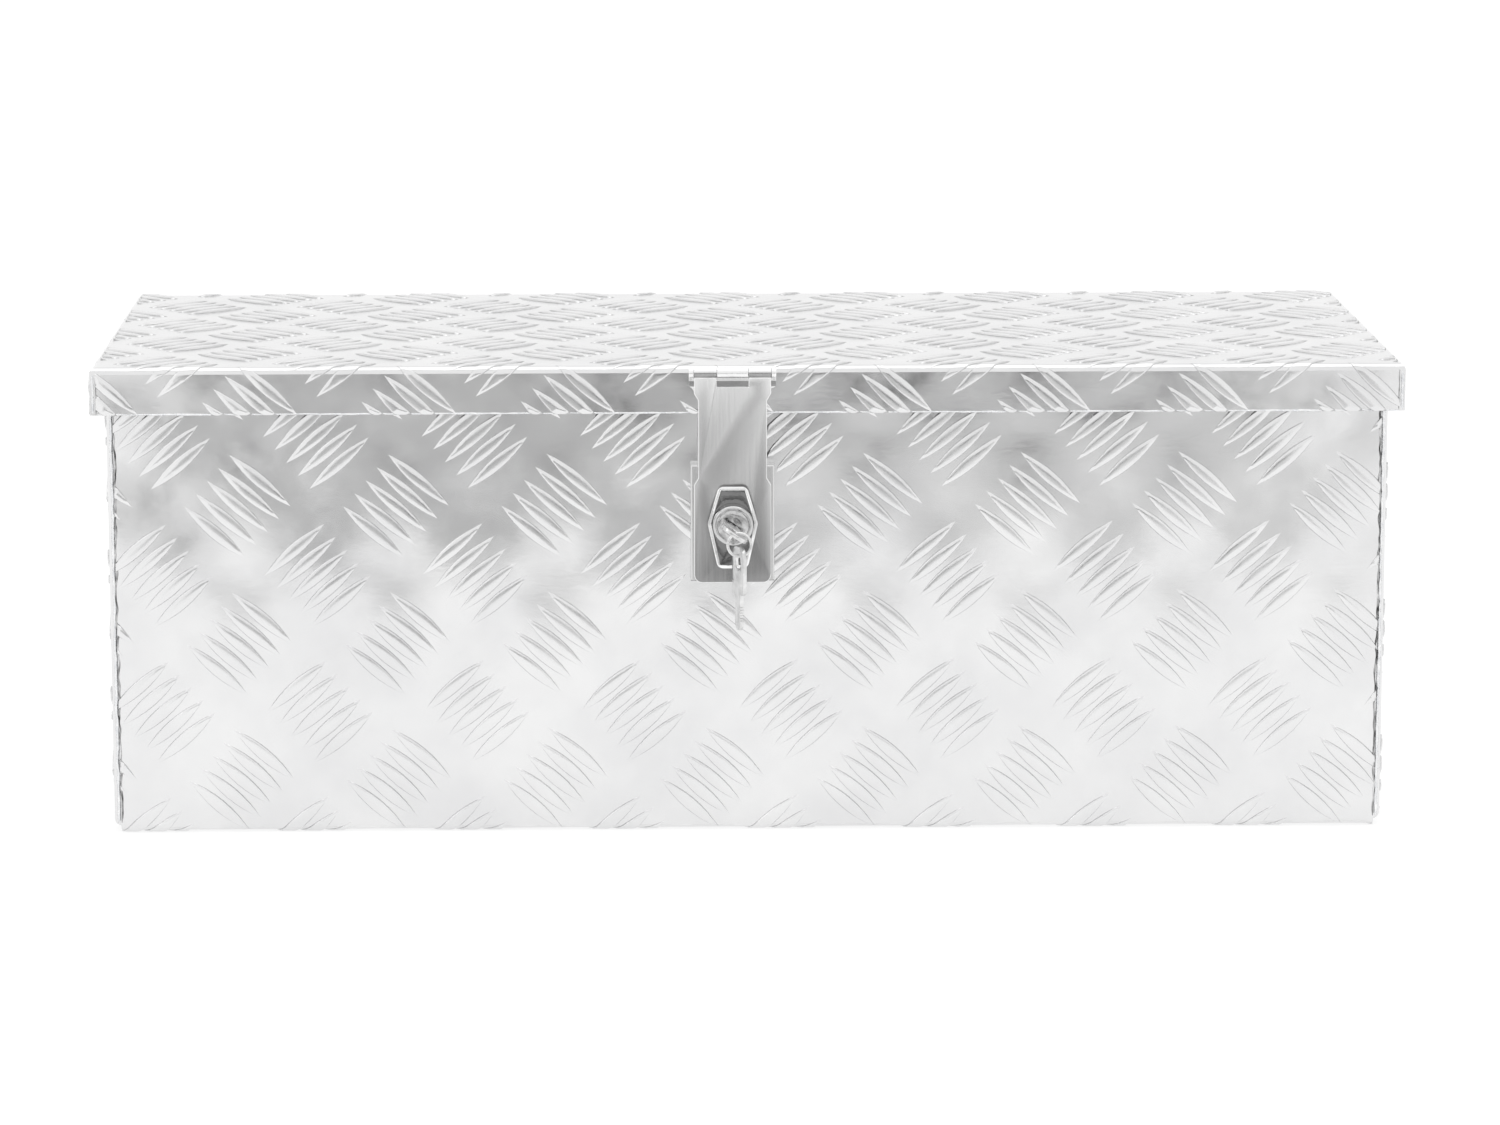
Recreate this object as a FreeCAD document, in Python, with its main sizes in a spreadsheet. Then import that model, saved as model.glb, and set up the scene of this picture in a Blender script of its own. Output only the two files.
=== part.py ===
"""Truck tool box of folded tread-plate aluminium: drop-over lid on a rear piano hinge, front hasp with a
key lock. Millimetres. Z is up, the front faces -Y, the origin is the middle of the underside."""

import FreeCAD, Part
import os
import re

import Sketcher

SIZES = {
    # box
    "body_length": 568.0,
    "body_depth": 233.0,
    "rim_height": 205.3,
    "sheet": 1.5,
    "wrap_bend": 3.0,
    "end_bend": 3.3,
    "end_flange": 12.0,
    "rim_flange": 12.0,
    "seam_gap": 0.1,
    # rubber seal on the rim
    "seal_height": 3.0,
    "seal_width": 6.5,
    "seal_inset": 3.5,
    "seal_gap": 0.2,
    # lid
    "side_gap": 4.5,
    "rear_gap": 3.6,
    "skirt_height": 21.0,
    "lid_bend": 3.0,
    # piano hinge
    "leaf_sheet": 1.2,
    "leaf_width": 20.0,
    "barrel_radius": 3.0,
    "barrel_gap": 0.6,
    "hinge_pin_radius": 1.5,
    "pin_play": 0.05,
    "knuckle_length": 20.0,
    "knuckle_gap": 0.4,
    "knuckle_pairs": 13.0,
    "pin_proud": 1.0,
    # rivets
    "rivet_radius": 1.6,
    "rivet_play": 0.05,
    "rivet_head_radius": 3.2,
    "rivet_head": 0.7,
    "rivet_tail_radius": 2.6,
    "rivet_tail": 1.2,
    "hinge_rivets": 7.0,
    "hinge_rivet_pitch": 80.0,
    "hasp_rivet_pitch": 16.0,
    "keeper_rivet_pitch": 22.0,
    "keeper_rivet_rise": 41.0,
    # hasp
    "hasp_across": -7.5,
    "hasp_barrel": 2.4,
    "hasp_pin_radius": 1.0,
    "hasp_stand": 0.9,
    "hasp_leaf_sheet": 1.6,
    "hasp_leaf_width": 26.0,
    "hasp_leaf_drop": 16.0,
    "hasp_ear": 2.0,
    "hasp_ear_drop": 7.2,
    "hasp_play": 0.2,
    "middle_knuckle": 13.6,
    "strap_sheet": 1.5,
    "strap_gap": 0.4,
    "strap_width": 34.0,
    "strap_waist": 30.3,
    "strap_drop": 94.0,
    "strap_shoulder": 9.5,
    "strap_hip": 50.0,
    "strap_slope": 3.0,
    "strap_corner": 3.5,
    "strap_window": 6.5,
    # lock
    "lock_drop": 66.9,
    "collar_height": 3.0,
    "collar_floor": 1.2,
    "collar_wall": 1.5,
    "collar_half": 11.1,
    "collar_top": 16.4,
    "collar_top_half": 6.3,
    "collar_foot": 20.1,
    "collar_foot_half": 6.6,
    "boss_radius": 8.9,
    "boss_height": 9.5,
    "boss_bevel": 1.0,
    "spigot_radius": 8.0,
    "turning_play": 0.05,
    "face_radius": 6.85,
    "face_sheet": 1.8,
    "face_recess": 0.3,
    "plug_radius": 6.0,
    "tail_radius": 4.5,
    "groove_radius": 4.1,
    "clip_sheet": 0.5,
    "clip_radius": 6.2,
    "clip_mouth": 3.0,
    "drive_width": 6.2,
    "drive_play": 0.05,
    "cam_sheet": 1.4,
    "cam_gap": 0.8,
    "cam_hub": 5.5,
    "cam_width": 8.0,
    "cam_reach": 13.0,
    "screw_radius": 1.5,
    "screw_head_radius": 3.6,
    "screw_head": 1.3,
    "screw_grip": 1.9,
    "screw_slot": 0.8,
    "wafer_sheet": 1.0,
    "wafer_width": 4.0,
    "wafer_length": 11.4,
    "wafer_pitch": 2.4,
    "wafer_first": 1.5,
    "wafer_play": 0.1,
    "wafers": 3.0,
    # keeper on the front of the box
    "keeper_width": 37.0,
    "keeper_rise": 25.3,
    "keeper_fall": 26.7,
    "keeper_sheet": 1.4,
    "keeper_gap": 0.8,
    "keeper_slot": 12.0,
    "keeper_slot_fall": 6.5,
    "keeper_edge": 0.8,
    # keys and ring
    "key_angle": 35.0,
    "key_length": 37.0,
    "blade_length": 16.0,
    "blade_width": 6.0,
    "key_sheet": 1.8,
    "key_play": 0.15,
    "keyway_floor": 1.1,
    "tip_gap": 0.1,
    "bow_width": 13.2,
    "bow_corner": 5.0,
    "bow_heel": 2.5,
    "key_eye": 7.0,
    "key_eye_radius": 3.5,
    "blade_groove": 1.3,
    "blade_groove_depth": 0.45,
    "cut_depth": 0.8,
    "ring_radius": 5.1,
    "ring_wire": 0.65,
    "ring_behind": 3.0,
    "ring_across": 5.0,
    "ring_play": 0.2,
    "spare_turn": 20.0,
}

doc = FreeCAD.newDocument("tool_box")
sheet = doc.addObject("Spreadsheet::Sheet", "Sizes")
for row, (alias, size) in enumerate(SIZES.items(), start=1):
    sheet.set(f"A{row}", alias)
    sheet.set(f"B{row}", str(size))
    sheet.setAlias(f"B{row}", alias)
doc.recompute()

FUNCTIONS = ("cos", "sin")
PLAN = FreeCAD.Rotation()
FRONT = FreeCAD.Rotation(FreeCAD.Vector(1, 0, 0), 90)  # drawn in X and Z, raised towards -Y
SIDE = FreeCAD.Rotation(FreeCAD.Vector(1, 1, 1), 120)  # drawn in Y and Z, raised towards +X
ALONG_X = FreeCAD.Rotation(FreeCAD.Vector(0, 1, 0), 90)
CLOSE = 0.01

# places that several pieces share, as expressions of the sheet's sizes
HALF_DEPTH = "(body_depth / 2)"
HALF_LENGTH = "(body_length / 2)"
LID_UNDER = "(rim_height + seal_height + seal_gap)"
LID_TOP = f"({LID_UNDER} + sheet)"
SKIRT_FOOT = f"({LID_TOP} - skirt_height)"
SKIRT_FACE = f"({HALF_DEPTH} + side_gap + sheet)"
REAR_FACE = f"({HALF_DEPTH} + rear_gap + sheet)"
LID_LEAF = f"({HALF_DEPTH} + rear_gap - leaf_sheet)"
HINGE_OUT = f"({LID_LEAF} + barrel_radius)"
HINGE_UP = f"({SKIRT_FOOT} - barrel_gap - barrel_radius)"
HINGE_LENGTH = "(2 * knuckle_pairs * knuckle_length)"
HASP_OUT = f"({SKIRT_FACE} + hasp_stand + hasp_barrel)"
HASP_UP = f"({LID_TOP} - hasp_barrel)"
STRAP_BACK = f"({SKIRT_FACE} + hasp_leaf_sheet + strap_gap)"
STRAP_FACE = f"({STRAP_BACK} + strap_sheet)"
LOCK_UP = f"({HASP_UP} - lock_drop)"
KEEPER_FACE = f"({STRAP_BACK} - keeper_gap)"
CAM_FACE = f"({KEEPER_FACE} - keeper_sheet - cam_gap)"
CAM_BACK = f"({CAM_FACE} - cam_sheet)"
KEY_TIP = f"({CAM_FACE} + keyway_floor + tip_gap)"
KEY_EYE_OUT = f"({KEY_TIP} + key_length - key_eye)"
RING_X = "(ring_across * cos(key_angle) - ring_behind * sin(key_angle))"
RING_Z = "(ring_across * sin(key_angle) + ring_behind * cos(key_angle))"


def sized(text):
    """An expression in the sheet's aliases, as the document writes it."""
    return re.sub(r"[a-z_]+", lambda word: word[0] if word[0] in FUNCTIONS else f"Sizes.{word[0]}", text)


def number(text):
    return float(sheet.evalExpression(sized(text)))


def place(piece, spot, turn=PLAN):
    piece.Placement = FreeCAD.Placement(FreeCAD.Vector(), turn)
    for axis, text in zip("xyz", spot):
        piece.setExpression(f"Placement.Base.{axis}", sized(text))


# ---- sketched pieces ----


def new_body(label, spot, turn):
    body = doc.addObject("PartDesign::Body", label)
    body.Label = label
    place(body, spot, turn)
    return body


def new_sketch(body, height):
    sketch = body.newObject("Sketcher::SketchObject", f"{body.Label}_outline")
    plane = next(item for item in body.Origin.OriginFeatures if item.Role == "XY_Plane")
    sketch.AttachmentSupport = [(plane, "")]
    sketch.MapMode = "FlatFace"
    sketch.setExpression("AttachmentOffset.Base.z", sized(height))
    return sketch


def pin_down(sketch, curve, end, point):
    """Binds one point of the sketch to its two expressions, measured from the sketch's origin."""
    for kind, text, axis in zip(("DistanceX", "DistanceY"), point, (-2, -1)):
        away = number(text)
        if abs(away) < CLOSE:
            sketch.addConstraint(Sketcher.Constraint("PointOnObject", curve, end, axis))
        elif away > 0:
            at = sketch.addConstraint(Sketcher.Constraint(kind, -1, 1, curve, end, away))
            sketch.setExpression(f"Constraints[{at}]", sized(text))
        else:
            at = sketch.addConstraint(Sketcher.Constraint(kind, curve, end, -1, 1, -away))
            sketch.setExpression(f"Constraints[{at}]", sized(f"-({text})"))


def draw(sketch, points):
    """A closed outline of straight lines through the points."""
    spots = [FreeCAD.Vector(number(across), number(up), 0) for across, up in points]
    first = sketch.GeometryCount
    for start, end in zip(spots, spots[1:] + spots[:1]):
        sketch.addGeometry(Part.LineSegment(start, end), False)
    for step in range(len(spots)):
        follower = first + (step + 1) % len(spots)
        sketch.addConstraint(Sketcher.Constraint("Coincident", first + step, 2, follower, 1))
    for step, point in enumerate(points):
        pin_down(sketch, first + step, 1, point)


def draw_circle(sketch, centre, radius):
    spot = FreeCAD.Vector(number(centre[0]), number(centre[1]), 0)
    curve = sketch.addGeometry(Part.Circle(spot, FreeCAD.Vector(0, 0, 1), number(radius)), False)
    pin_down(sketch, curve, 3, centre)
    at = sketch.addConstraint(Sketcher.Constraint("Radius", curve, number(radius)))
    sketch.setExpression(f"Constraints[{at}]", sized(radius))


def rectangle(left, low, right, high):
    return [(left, low), (right, low), (right, high), (left, high)]


def extrude(body, kind, height, length, outlines=(), circles=()):
    """A Pad or a Pocket that runs from a height in the body's own frame, upwards by a length."""
    sketch = new_sketch(body, height)
    for points in outlines:
        draw(sketch, points)
    for centre, radius in circles:
        draw_circle(sketch, centre, radius)
    feature = body.newObject(f"PartDesign::{kind}", f"{body.Label}_{kind.lower()}")
    feature.Profile = sketch
    feature.setExpression("Length", sized(length))
    feature.Reversed = kind == "Pocket"
    doc.recompute()
    return feature


def round_off(body, radius, chosen):
    """Rounds the edges of the body's tip that the chosen test accepts."""
    tip = body.Tip
    names = [f"Edge{at}" for at, edge in enumerate(tip.Shape.Edges, start=1) if chosen(edge)]
    feature = body.newObject("PartDesign::Fillet", f"{body.Label}_fillet")
    feature.Base = (tip, names)
    feature.setExpression("Radius", sized(radius))
    doc.recompute()


def upright_at(points):
    """Accepts the edges that run along the body's own Z through one of the points."""
    spots = [(number(across), number(up)) for across, up in points]

    def chosen(edge):
        low, high = edge.BoundBox, edge.CenterOfMass
        upright = low.XLength < CLOSE and low.YLength < CLOSE
        return upright and any(abs(high.x - x) + abs(high.y - y) < CLOSE for x, y in spots)

    return chosen


def level_at(height):
    """Accepts the edges that lie at one height in the body's own frame."""
    level = number(height)
    return lambda edge: abs(edge.BoundBox.ZMin - level) + abs(edge.BoundBox.ZMax - level) < CLOSE


# ---- primitives and booleans ----


def block(label, spot, size, turn=PLAN):
    box = doc.addObject("Part::Box", label)
    for side, text in zip(("Length", "Width", "Height"), size):
        box.setExpression(side, sized(text))
    place(box, spot, turn)
    return box


def rod(label, spot, radius, length, turn):
    cylinder = doc.addObject("Part::Cylinder", label)
    cylinder.setExpression("Radius", sized(radius))
    cylinder.setExpression("Height", sized(length))
    place(cylinder, spot, turn)
    return cylinder


def fuse(label, pieces):
    joined = doc.addObject("Part::MultiFuse", label)
    joined.Shapes = pieces
    joined.Refine = True
    joined.Label = label
    return joined


def cut(label, base, tool):
    left = doc.addObject("Part::Cut", label)
    left.Base = base
    left.Tool = tool
    left.Label = label
    return left


def group(label, shapes):
    piece = doc.addObject("Part::Feature", label)
    piece.Label = label
    piece.Shape = Part.makeCompound(shapes)
    return piece


# ---- rivets, all along Y ----


def rivet(across, up, shop, field, head, tail):
    """One set rivet: a shank from the field face to the shop face, a rounded head and a flat tail."""
    way = FreeCAD.Vector(0, 1 if shop > field else -1, 0)
    start, end = FreeCAD.Vector(across, field, up), FreeCAD.Vector(across, shop, up)
    solid = Part.makeCylinder(number("rivet_radius"), abs(shop - field), start, way)
    crown = Part.makeCylinder(number("rivet_head_radius"), head, end, way)
    rim = [edge for edge in crown.Edges if abs(edge.BoundBox.Center.y - (end + way * head).y) < CLOSE]
    solid = solid.fuse(crown.makeFillet(0.9 * head, rim))
    if tail > 0:
        solid = solid.fuse(Part.makeCylinder(number("rivet_tail_radius"), tail, start - way * tail, way))
    return solid


def rivet_holes(label, spots, near, far):
    radius = number("rivet_radius + rivet_play")
    along = FreeCAD.Vector(0, 1, 0)
    starts = [FreeCAD.Vector(across, near, up) for across, up in spots]
    return group(label, [Part.makeCylinder(radius, far - near, start, along) for start in starts])


def rivets(label, spots, shop, field, head, tail):
    return group(label, [rivet(across, up, shop, field, head, tail) for across, up in spots])


def in_row(count, pitch, up):
    return [((at - (count - 1) / 2) * pitch, up) for at in range(count)]


# ---- the box ----


def make_wrap():
    """Front, bottom and back, folded from one sheet, with a flange turned in along each rim."""
    wall, lip = f"({HALF_DEPTH} - sheet)", f"({HALF_DEPTH} - rim_flange)"
    back = [
        (HALF_DEPTH, "0"),
        (HALF_DEPTH, "rim_height"),
        (lip, "rim_height"),
        (lip, "rim_height - sheet"),
        (wall, "rim_height - sheet"),
        (wall, "sheet"),
    ]
    front = [(f"-{across}", up) for across, up in reversed(back)]
    body = new_body("wrap_sheet", (f"-({HALF_LENGTH} - end_bend)", "0", "0"), SIDE)
    extrude(body, "Pad", "0", "body_length - 2 * end_bend", [back + front])
    outer = back[:2] + front[-2:]
    inner = back[4:] + front[:2]
    round_off(body, "wrap_bend", upright_at(outer))
    round_off(body, "wrap_bend - sheet", upright_at(inner))
    return body


def make_end(label, side):
    """End panel: a pan whose flanges lie inside the wrap and under the seal."""
    turn = SIDE if side > 0 else FreeCAD.Rotation(FreeCAD.Vector(0, 0, 1), 180).multiply(SIDE)
    at = f"{side} * ({HALF_LENGTH} - end_flange)"
    body = new_body(label, (at, "0", "0"), turn)
    edge, foot = f"({HALF_DEPTH} - sheet - seam_gap)", "(sheet + seam_gap)"
    outer = rectangle(f"-{edge}", foot, edge, "rim_height")
    inner = rectangle(f"-({edge} - sheet)", f"{foot} + sheet", f"({edge} - sheet)", "rim_height - sheet")
    extrude(body, "Pad", "0", "end_flange", [outer])
    round_off(body, "wrap_bend", upright_at(outer))
    round_off(body, "end_bend", level_at("end_flange"))
    extrude(body, "Pocket", "0", "end_flange - sheet", [inner])
    round_off(body, "wrap_bend - sheet", upright_at(inner))
    round_off(body, "end_bend - sheet", level_at("end_flange - sheet"))
    lip, clear = f"({HALF_DEPTH} - rim_flange - seam_gap)", "rim_height - wrap_bend - seam_gap"
    notches = [
        rectangle(lip, clear, HALF_DEPTH, "rim_height + sheet"),
        rectangle(f"-{HALF_DEPTH}", clear, f"-{lip}", "rim_height + sheet"),
    ]
    extrude(body, "Pocket", "0", "end_flange - end_bend + seam_gap", notches)
    return body


def make_seal():
    """Rubber strip all round the rim, which the lid closes on."""
    across, along = f"({HALF_LENGTH} - seal_inset)", f"({HALF_DEPTH} - seal_inset)"
    near, by = f"({across} - seal_width)", f"({along} - seal_width)"
    outline = [rectangle(f"-{across}", f"-{along}", across, along), rectangle(f"-{near}", f"-{by}", near, by)]
    body = new_body("rim_seal", ("0", "0", "rim_height"), PLAN)
    extrude(body, "Pad", "0", "seal_height", outline)
    round_off(body, "seal_height / 3", level_at("seal_height"))
    return body


def make_lid():
    """Lid: one sheet with a skirt folded down on all four sides."""
    across = f"({HALF_LENGTH} + side_gap + sheet)"
    outer = rectangle(f"-{across}", f"-{SKIRT_FACE}", across, REAR_FACE)
    inner = rectangle(
        f"-({across} - sheet)", f"-({SKIRT_FACE} - sheet)", f"({across} - sheet)", f"({REAR_FACE} - sheet)"
    )
    body = new_body("lid_sheet", ("0", "0", SKIRT_FOOT), PLAN)
    extrude(body, "Pad", "0", "skirt_height", [outer])
    round_off(body, "lid_bend", level_at("skirt_height"))
    extrude(body, "Pocket", "0", "skirt_height - sheet", [inner])
    round_off(body, "lid_bend - sheet", level_at("skirt_height - sheet"))
    return body


# ---- the piano hinge ----


def make_leaf(label, plate, tab, first):
    """One hinge leaf: a plate, and every other knuckle of the barrel joined to it by a tab."""
    body = new_body(label, (f"-{HINGE_LENGTH} / 2", "0", "0"), SIDE)
    extrude(body, "Pad", "0", HINGE_LENGTH, [plate])
    start, length = f"{first} + knuckle_gap / 2", "knuckle_length - knuckle_gap"
    arm = extrude(body, "Pad", start, length, [tab])
    knuckle = extrude(body, "Pad", start, length, circles=[((HINGE_OUT, HINGE_UP), "barrel_radius")])
    pattern = body.newObject("PartDesign::LinearPattern", f"{label}_knuckles")
    pattern.Originals = [arm, knuckle]
    axis = next(item for item in body.Origin.OriginFeatures if item.Role == "Z_Axis")
    pattern.Direction = (axis, [""])
    pattern.setExpression("Length", sized("2 * knuckle_length * (knuckle_pairs - 1)"))
    pattern.setExpression("Occurrences", sized("knuckle_pairs"))
    body.Tip = pattern
    doc.recompute()
    bore = [((HINGE_OUT, HINGE_UP), "hinge_pin_radius + pin_play")]
    extrude(body, "Pocket", "0", HINGE_LENGTH, circles=bore)
    return body


def make_box_leaf():
    face, out = HALF_DEPTH, f"({HALF_DEPTH} + leaf_sheet)"
    top, low = f"({HINGE_UP} - barrel_radius - knuckle_gap)", f"({HINGE_UP} - barrel_radius)"
    plate = rectangle(face, f"{top} - leaf_width", out, top)
    tab = [
        (face, f"{top} - leaf_sheet"),
        (out, f"{top} - leaf_sheet"),
        (out, low),
        (HINGE_OUT, low),
        (HINGE_OUT, f"{low} + leaf_sheet"),
        (face, f"{low} + leaf_sheet"),
    ]
    return make_leaf("box_leaf_sheet", plate, tab, "0")


def make_lid_leaf():
    inner, outer = LID_LEAF, f"({LID_LEAF} + leaf_sheet)"
    low = f"({HINGE_UP} + barrel_radius + knuckle_gap)"
    plate = rectangle(inner, low, outer, f"{LID_UNDER} - sheet")
    tab = rectangle(inner, HINGE_UP, outer, f"{low} + leaf_sheet")
    return make_leaf("lid_leaf_sheet", plate, tab, "knuckle_length")


# ---- the hasp ----


def hasp_tubes(label, stretches):
    """Knuckles of the hasp's barrel, each from one place to another across the hasp."""
    made = []
    for near, far in stretches:
        spot = (f"hasp_across + {near}", f"-{HASP_OUT}", HASP_UP)
        made.append(rod(f"{label}_knuckle", spot, "hasp_barrel", f"({far}) - ({near})", ALONG_X))
    return made


def hasp_bore(label):
    spot = ("hasp_across - strap_width", f"-{HASP_OUT}", HASP_UP)
    return rod(f"{label}_bore", spot, "hasp_pin_radius + pin_play", "2 * strap_width", ALONG_X)


def both_ways(right):
    """A symmetrical outline from its right half, listed from the top to the bottom."""
    left = [(f"-({across})", up) for across, up in reversed(right)]
    return right + left


def make_fixed_leaf():
    """Fixed leaf, riveted to the lid's front skirt behind the strap."""
    end, ear = "(strap_width / 2 + hasp_play)", "(strap_width / 2 + hasp_play + hasp_ear)"
    middle, clear = "(middle_knuckle / 2)", "-(hasp_barrel + strap_gap)"
    right = [
        (middle, "0"),
        (middle, clear),
        (end, clear),
        (end, "0"),
        (ear, "0"),
        (ear, "-hasp_ear_drop"),
        ("hasp_leaf_width / 2", "-hasp_ear_drop"),
        ("hasp_leaf_width / 2", "-hasp_leaf_drop"),
    ]
    body = new_body("leaf_plate", ("hasp_across", f"-{SKIRT_FACE}", HASP_UP), FRONT)
    extrude(body, "Pad", "0", "hasp_leaf_sheet", [both_ways(right)])
    round_off(body, "hasp_ear", upright_at([right[5], (f"-({right[5][0]})", right[5][1])]))
    tubes = hasp_tubes("leaf", [(f"-{ear}", f"-{end}"), (f"-{middle}", middle), (end, ear)])
    return cut("leaf_bored", fuse("leaf_joined", [body] + tubes), hasp_bore("leaf"))


def make_strap():
    """Hinged strap: hangs over the keeper and carries the lock."""
    wide, waist = "strap_width / 2", "strap_waist / 2"
    inner = "(middle_knuckle / 2 + hasp_play)"
    right = [
        (inner, "-strap_window"),
        (inner, "0"),
        (wide, "0"),
        (wide, "-strap_shoulder"),
        (waist, "-(strap_shoulder + strap_slope)"),
        (waist, "-(strap_hip - strap_slope)"),
        (wide, "-strap_hip"),
        (wide, "-strap_drop"),
    ]
    outline = both_ways(right)
    body = new_body("strap_plate", ("hasp_across", f"-{STRAP_BACK}", HASP_UP), FRONT)
    extrude(body, "Pad", "0", "strap_sheet", [outline])
    round_off(body, "strap_corner", upright_at([outline[7], outline[8]]))
    hole = [(("0", "-lock_drop"), "spigot_radius + turning_play")]
    extrude(body, "Pocket", "0", "strap_sheet", circles=hole)
    tubes = hasp_tubes("strap", [("-strap_width / 2", f"-{inner}"), (inner, "strap_width / 2")])
    return cut("hasp_strap", fuse("strap_joined", [body] + tubes), hasp_bore("strap"))


# ---- the lock, drawn from the strap's face ----


def collar(inset):
    """The lock collar's six-sided outline, drawn in by an inset."""
    right = [
        (f"collar_top_half - 0.7 * {inset}", f"collar_top - {inset}"),
        (f"collar_half - {inset}", "0"),
        (f"collar_foot_half - 0.7 * {inset}", f"-(collar_foot - {inset})"),
    ]
    return both_ways(right)


def make_housing():
    """Die-cast housing: a six-sided collar with a round boss, swaged into the strap."""
    body = new_body("lock_housing", ("hasp_across", f"-{STRAP_FACE}", LOCK_UP), FRONT)
    outer, inner = collar("0"), collar("collar_wall")
    middle = ("0", "0")
    extrude(body, "Pad", "0", "collar_height", [outer])
    round_off(body, "2 * collar_wall", upright_at(outer))
    extrude(body, "Pocket", "collar_floor", "collar_height - collar_floor", [inner])
    extrude(body, "Pad", "0", "boss_height", circles=[(middle, "boss_radius")])
    round_off(body, "boss_bevel", level_at("boss_height"))
    extrude(body, "Pad", "-strap_sheet", "strap_sheet", circles=[(middle, "spigot_radius")])
    seat = "boss_height - face_recess - face_sheet - turning_play"
    wide, narrow = "face_radius + turning_play", "plug_radius + turning_play"
    extrude(body, "Pocket", seat, "face_sheet + 1", circles=[(middle, wide)])
    extrude(body, "Pocket", "-strap_sheet", "strap_sheet + boss_height", circles=[(middle, narrow)])
    return body


def lock_rod(label, radius, low, high):
    """A round length of the plug, between two heights above the strap's face."""
    spot = ("hasp_across", f"-({STRAP_FACE} + ({low}))", LOCK_UP)
    return rod(label, spot, radius, f"({high}) - ({low})", FRONT)


def slanted_block(label, across, up, low, high):
    """A block through the lock's axis, turned to the key's angle."""
    turn = FRONT.multiply(FreeCAD.Rotation(FreeCAD.Vector(0, 0, 1), -number("key_angle")))
    x = f"hasp_across - ({across}) / 2 * cos(key_angle) - ({up}) / 2 * sin(key_angle)"
    z = f"{LOCK_UP} + ({across}) / 2 * sin(key_angle) - ({up}) / 2 * cos(key_angle)"
    spot = (x, f"-({STRAP_FACE} + ({low}))", z)
    return block(label, spot, (across, up, f"({high}) - ({low})"), turn)


def drive_block(label, play):
    width = f"(drive_width + 2 * {play})"
    spot = (f"hasp_across - {width} / 2", f"-{CAM_FACE}", f"{LOCK_UP} - {width} / 2")
    return block(label, spot, (width, "cam_sheet", width))


CAM_LEVEL = f"({CAM_FACE} - {STRAP_FACE})"
CLIP_LEVEL = "(-strap_sheet - clip_sheet)"
FACE_LEVEL = "(boss_height - face_recess)"


def wafer_level(at):
    return f"({FACE_LEVEL} - face_sheet - wafer_first - {at} * wafer_pitch)"


def make_plug():
    """Turning plug: a stepped round with the keyway, the wafer slots, a clip groove and a square drive."""
    stack = [
        lock_rod("plug_face", "face_radius", f"{FACE_LEVEL} - face_sheet", FACE_LEVEL),
        lock_rod("plug_barrel", "plug_radius", "-strap_sheet", f"{FACE_LEVEL} - face_sheet"),
        lock_rod("plug_groove", "groove_radius", CLIP_LEVEL, "-strap_sheet"),
        lock_rod("plug_tail", "tail_radius", CAM_LEVEL, CLIP_LEVEL),
        drive_block("plug_drive", "0"),
    ]
    tools = [
        slanted_block(
            "keyway", "blade_width + 2 * key_play", "key_sheet + 2 * key_play", f"{CAM_LEVEL} + keyway_floor",
            "boss_height",
        ),
        lock_rod("screw_bore", "screw_radius + turning_play", f"{CAM_LEVEL} - 2 * cam_sheet",
                 f"{CAM_LEVEL} - cam_sheet + screw_grip + tip_gap"),
    ]
    for at in range(int(number("wafers"))):
        level = wafer_level(at)
        tools.append(
            slanted_block("wafer_slot", "2 * plug_radius + 1", "wafer_width + 2 * wafer_play",
                          f"{level} - wafer_play", f"{level} + wafer_sheet + wafer_play")
        )
    return cut("lock_plug", fuse("plug_turned", stack), fuse("plug_tools", tools))


def make_wafers():
    """Sprung plates across the plug, each with a window for the key's blade."""
    made = []
    for at in range(int(number("wafers"))):
        low, high = wafer_level(at), f"{wafer_level(at)} + wafer_sheet"
        plate = slanted_block("wafer_plate", "wafer_length", "wafer_width", low, high)
        window = slanted_block("wafer_window", "blade_width + 4 * key_play", "key_sheet + 4 * key_play",
                               low, high)
        made.append(cut("wafer", plate, window))
    doc.recompute()
    return group("lock_wafers", [wafer.Shape for wafer in made])


def make_clip():
    """Spring clip in the plug's groove, which holds the plug in the housing."""
    body = new_body("retaining_clip", ("hasp_across", f"-{STRAP_BACK}", LOCK_UP), FRONT)
    ring = [(("0", "0"), "clip_radius"), (("0", "0"), "groove_radius + turning_play")]
    extrude(body, "Pad", "-clip_sheet", "clip_sheet", circles=ring)
    mouth = rectangle("-clip_mouth / 2", "0", "clip_mouth / 2", "clip_radius + 1")
    extrude(body, "Pocket", "-clip_sheet", "clip_sheet", [mouth])
    return body


def make_cam():
    """Tongue that turns behind the keeper's slot."""
    body = new_body("cam_plate", ("hasp_across", f"-{CAM_BACK}", LOCK_UP), FRONT)
    tongue = rectangle("-cam_width / 2", "0", "cam_width / 2", "cam_reach")
    extrude(body, "Pad", "0", "cam_sheet", circles=[(("0", "0"), "cam_hub")])
    extrude(body, "Pad", "0", "cam_sheet", [tongue])
    round_off(body, "cam_width / 5", upright_at(tongue[2:]))
    return cut("lock_cam", body, drive_block("cam_hole", "drive_play"))


def make_screw():
    """Slotted screw that holds the cam on the plug's drive."""
    back = f"({CAM_LEVEL} - cam_sheet)"
    head = lock_rod("screw_head", "screw_head_radius", f"{back} - screw_head", back)
    shank = lock_rod("screw_shank", "screw_radius", back, f"{back} + screw_grip")
    spot = ("hasp_across - screw_head_radius", f"-({STRAP_FACE} + {back} - screw_head + screw_slot / 2)",
            f"{LOCK_UP} - screw_slot / 2")
    slot = block("screw_slot_cut", spot, ("2 * screw_head_radius", "screw_slot", "screw_slot"))
    return cut("cam_screw", fuse("screw_turned", [head, shank]), slot)


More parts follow.
